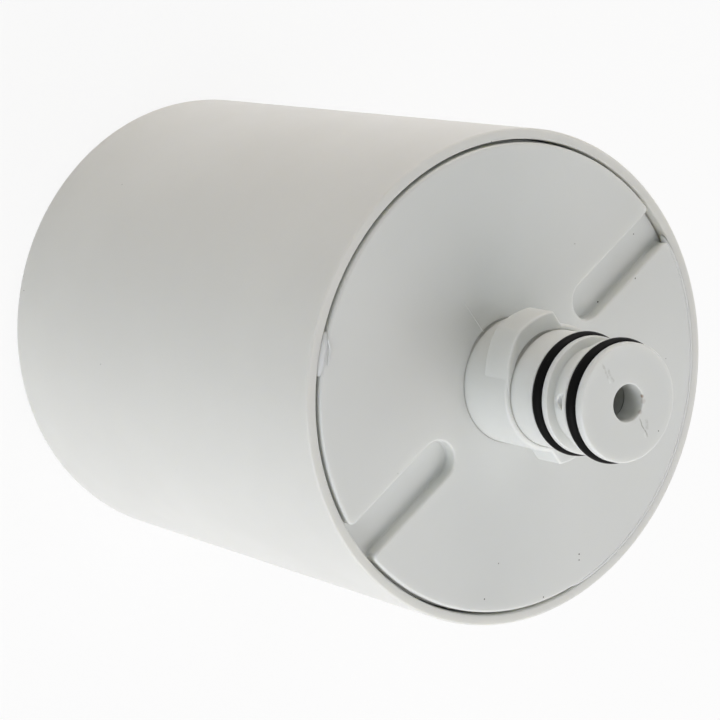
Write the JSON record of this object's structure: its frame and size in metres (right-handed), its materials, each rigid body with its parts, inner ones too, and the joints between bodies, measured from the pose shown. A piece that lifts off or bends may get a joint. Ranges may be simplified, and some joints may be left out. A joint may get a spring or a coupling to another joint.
{
  "type": "refrigerator water filter cartridge",
  "caption": "Sealed cylindrical water filter cartridge with a central quarter-turn neck, bayonet lugs, O-rings, drive slots in the cap and a hand grip in the closed end.",
  "frame": {"origin": "centre of the closed end's flat face, where the cartridge stands", "axes": "+Z along the cartridge axis from the closed end to the tip of the neck, +X along the two drive slots of the cap"},
  "size_m": [0.082, 0.082, 0.1224],
  "materials": {
    "housing_plastic": "satin white moulded polypropylene",
    "cap_plastic": "satin white moulded polypropylene",
    "o_ring_rubber": "black nitrile rubber, lightly greased",
    "element_plastic": "natural white moulded polypropylene",
    "bonded_carbon": "dull black sintered carbon",
    "fleece": "white non-woven fleece",
    "hot_melt": "pale yellow hot-melt adhesive"
  },
  "bodies": {
    "root": {"housing": "housing_plastic", "end_cap": "cap_plastic", "lower_neck_o_ring": "o_ring_rubber", "upper_neck_o_ring": "o_ring_rubber", "upper_block_cap": "element_plastic", "lower_block_cap": "element_plastic", "spigot_o_ring": "o_ring_rubber", "carbon_block": "bonded_carbon", "prefilter_wrap": "fleece", "upper_glue_bed": "hot_melt", "lower_glue_bed": "hot_melt"}
  },
  "joints": []
}
